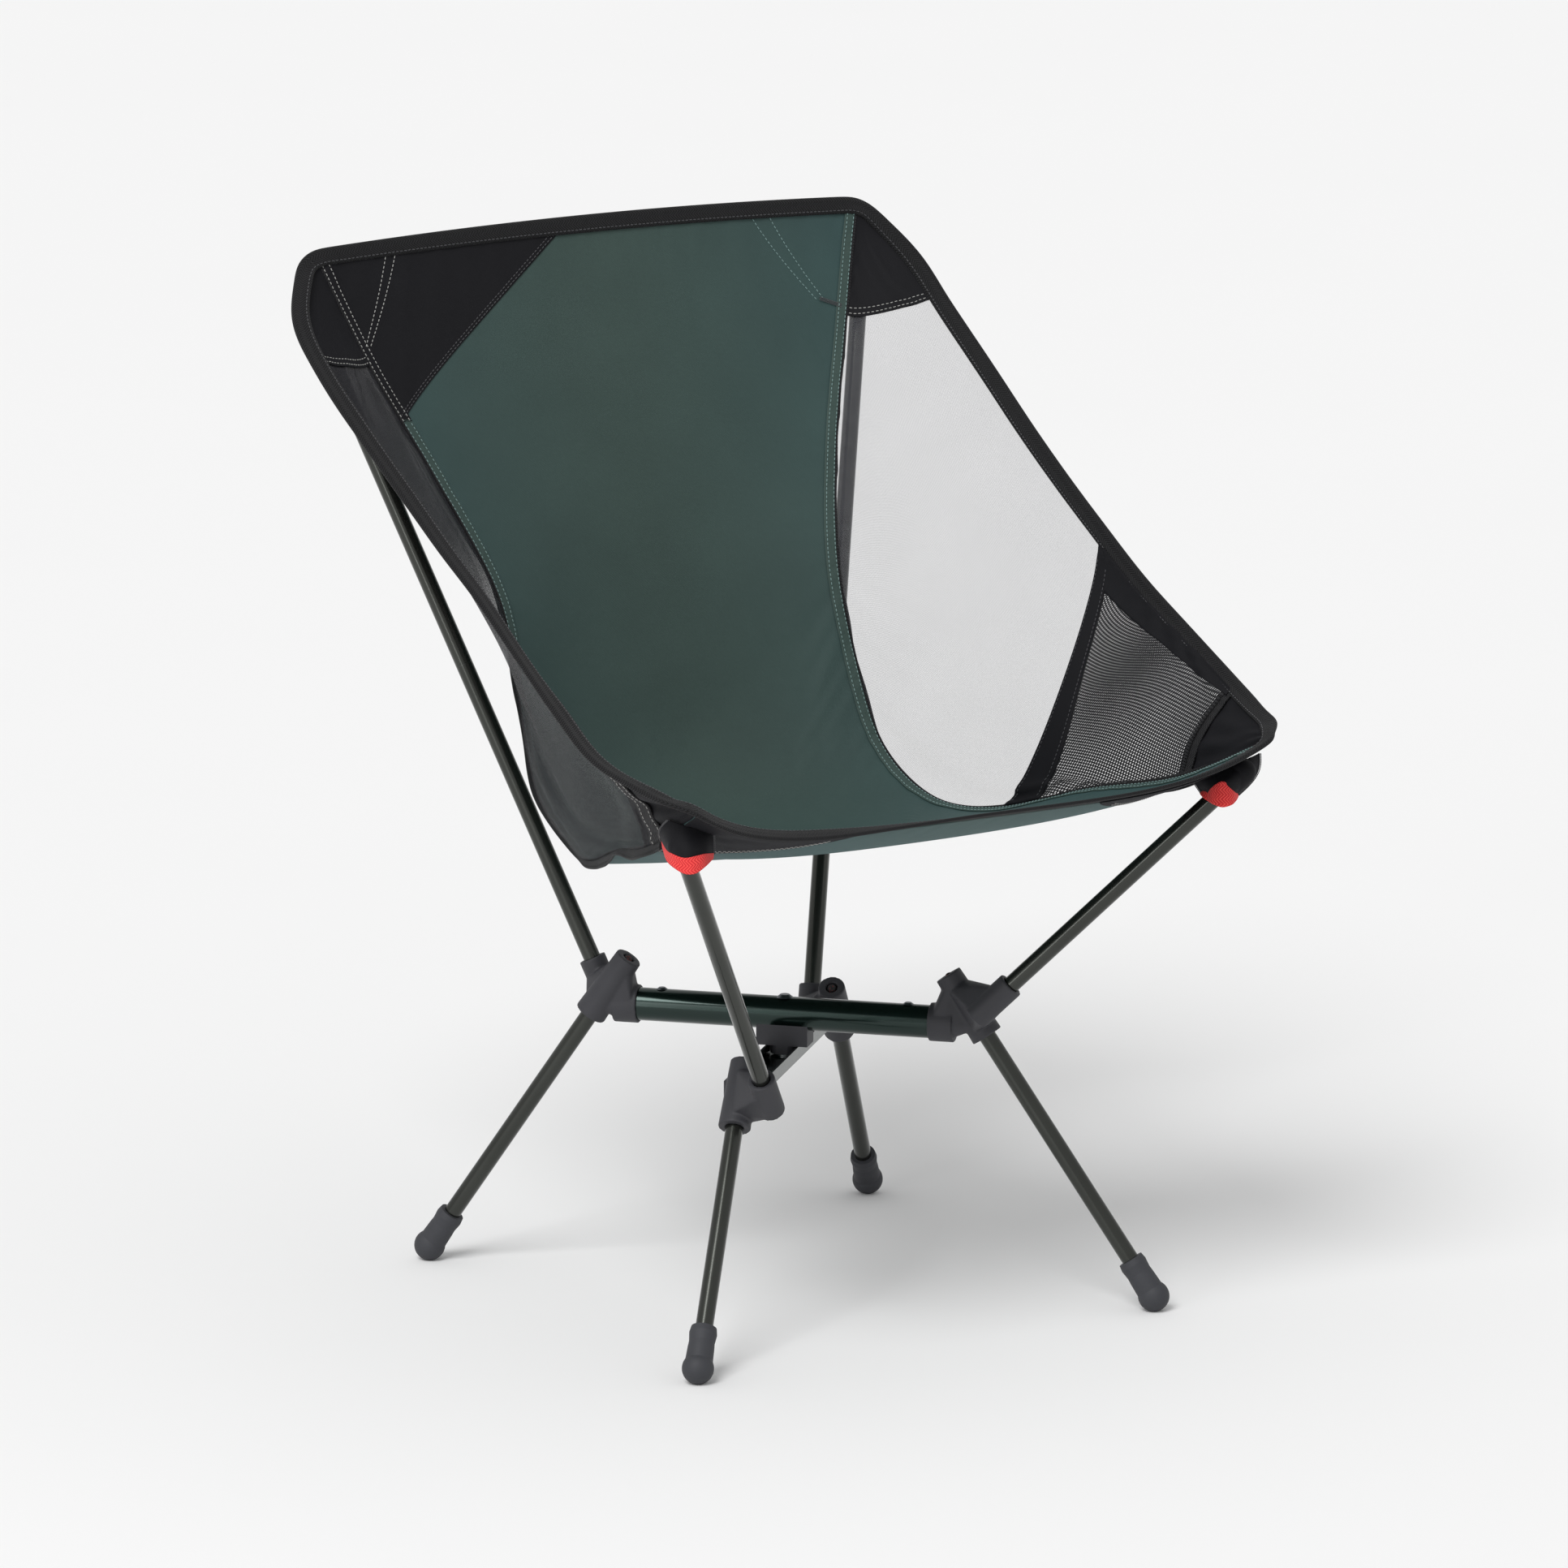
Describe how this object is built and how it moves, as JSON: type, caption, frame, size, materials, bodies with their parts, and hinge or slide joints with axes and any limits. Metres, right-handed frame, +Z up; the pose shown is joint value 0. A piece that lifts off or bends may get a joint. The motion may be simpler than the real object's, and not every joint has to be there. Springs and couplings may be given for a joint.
{
  "type": "folding camp chair",
  "caption": "Low folding camp chair with crossed aluminium bars, moulded hubs, plug-in legs and poles, and a sewn bucket sling with mesh sides.",
  "frame": {"origin": "middle of the chair's outline on the ground", "axes": "+Z up, +X to the chair's right as seen from the front, the seat opens towards -Y"},
  "size_m": [0.482, 0.5183, 0.6669],
  "materials": {
    "anodised_green": "dark green anodised, glossy",
    "anodised_pole": "dark grey-green anodised, satin",
    "bare_aluminium": "plain drawn",
    "rivet_steel": "blackened",
    "hub_nylon": "glass-filled nylon, fine texture",
    "cap_plastic": "satin",
    "foot_rubber": "matte",
    "cord_elastic": "braided elastic",
    "green_fabric": "twill polyester",
    "black_fabric": "plain polyester",
    "fine_mesh": "sheer fine mesh",
    "coarse_mesh": "open knitted mesh",
    "webbing": "herringbone grosgrain",
    "red_webbing": "ribbed webbing"
  },
  "bodies": {
    "main_frame": {"main_tube": "anodised_green", "hub_back_left": "hub_nylon", "hub_front_right": "hub_nylon", "tube_rivets": "rivet_steel", "pivot_rivet": "rivet_steel", "saddle": "hub_nylon", "thrust_washer": "rivet_steel", "shock_cord_back_left": "cord_elastic", "shock_cord_front_right": "cord_elastic"},
    "crossbar": {"cross_channel": "anodised_green", "hub_front_left": "hub_nylon", "hub_back_right": "hub_nylon", "channel_rivets": "rivet_steel", "shock_cord_front_left": "cord_elastic", "shock_cord_back_right": "cord_elastic"},
    "leg_back_left": {"leg_back_left": "anodised_pole", "foot_back_left": "foot_rubber"},
    "leg_back_right": {"leg_back_right": "anodised_pole", "foot_back_right": "foot_rubber"},
    "leg_front_left": {"leg_front_left": "anodised_pole", "foot_front_left": "foot_rubber"},
    "leg_front_right": {"leg_front_right": "anodised_pole", "foot_front_right": "foot_rubber"},
    "back_pole_lower_left": {"back_pole_lower_left": "anodised_pole", "ferrule_left": "bare_aluminium"},
    "back_pole_upper_left": {"back_pole_upper_left": "anodised_pole", "tip_cap_back_left": "cap_plastic"},
    "front_pole_left": {"front_pole_left": "anodised_pole", "tip_cap_front_left": "cap_plastic"},
    "back_pole_lower_right": {"back_pole_lower_right": "anodised_pole", "ferrule_right": "bare_aluminium"},
    "back_pole_upper_right": {"back_pole_upper_right": "anodised_pole", "tip_cap_back_right": "cap_plastic"},
    "front_pole_right": {"front_pole_right": "anodised_pole", "tip_cap_front_right": "cap_plastic"},
    "sling": {"seat_panel": "green_fabric", "corner_panel": "black_fabric", "side_mesh_left": "fine_mesh", "side_mesh_right": "fine_mesh", "side_patch_left": "black_fabric", "side_patch_right": "black_fabric", "front_patch_left": "black_fabric", "front_patch_right": "black_fabric", "mesh_pocket": "coarse_mesh", "binding_top": "webbing", "binding_front": "webbing", "binding_left": "webbing", "binding_right": "webbing", "pocket_back_left": "black_fabric", "pocket_back_right": "black_fabric", "pocket_front_left": "black_fabric", "pocket_front_right": "black_fabric", "pocket_rim_left": "red_webbing", "pocket_rim_right": "red_webbing"}
  },
  "joints": [
    {"name": "frame_scissor", "type": "hinge", "parent": "main_frame", "child": "crossbar", "pos_m": [0, -0.007, 0.165], "axis": [0, 0, -1], "range_deg": [0, 66]},
    {"name": "sling_lift", "type": "slide", "parent": "main_frame", "child": "sling", "axis": [0, 0, 1], "range_m": [0, 0.7]},
    {"name": "back_pole_pull_left", "type": "slide", "parent": "main_frame", "child": "back_pole_lower_left", "axis": [-0.2742, 0.3196, 0.907], "range_m": [0, 0.042]},
    {"name": "back_pole_split_left", "type": "slide", "parent": "back_pole_lower_left", "child": "back_pole_upper_left", "axis": [-0.2742, 0.3196, 0.907], "range_m": [0, 0.042]},
    {"name": "back_pole_pull_right", "type": "slide", "parent": "crossbar", "child": "back_pole_lower_right", "axis": [0.2551, 0.2973, 0.9201], "range_m": [0, 0.042]},
    {"name": "back_pole_split_right", "type": "slide", "parent": "back_pole_lower_right", "child": "back_pole_upper_right", "axis": [0.2551, 0.2973, 0.9201], "range_m": [0, 0.042]},
    {"name": "front_pole_pull_left", "type": "slide", "parent": "crossbar", "child": "front_pole_left", "axis": [-0.4862, -0.3949, 0.7796], "range_m": [0, 0.042]},
    {"name": "front_pole_pull_right", "type": "slide", "parent": "main_frame", "child": "front_pole_right", "axis": [0.5539, -0.4499, 0.7005], "range_m": [0, 0.042]},
    {"name": "leg_pull_back_left", "type": "slide", "parent": "main_frame", "child": "leg_back_left", "axis": [-0.3726, 0.4158, -0.8296], "range_m": [0, 0.045]},
    {"name": "leg_pull_back_right", "type": "slide", "parent": "crossbar", "child": "leg_back_right", "axis": [0.4273, 0.4768, -0.7681], "range_m": [0, 0.045]},
    {"name": "leg_pull_front_left", "type": "slide", "parent": "crossbar", "child": "leg_front_left", "axis": [-0.4392, -0.4721, -0.7643], "range_m": [0, 0.045]},
    {"name": "leg_pull_front_right", "type": "slide", "parent": "main_frame", "child": "leg_front_right", "axis": [0.3835, -0.4122, -0.8265], "range_m": [0, 0.045]}
  ],
  "couplings": [
    {"joint": "sling_lift", "follows": "frame_scissor", "m_per_rad": 0.6},
    {"joint": "back_pole_pull_left", "follows": "frame_scissor", "m_per_rad": 0.036},
    {"joint": "back_pole_split_left", "follows": "frame_scissor", "m_per_rad": 0.036},
    {"joint": "back_pole_pull_right", "follows": "frame_scissor", "m_per_rad": 0.036},
    {"joint": "back_pole_split_right", "follows": "frame_scissor", "m_per_rad": 0.036},
    {"joint": "front_pole_pull_left", "follows": "frame_scissor", "m_per_rad": 0.036},
    {"joint": "front_pole_pull_right", "follows": "frame_scissor", "m_per_rad": 0.036}
  ]
}
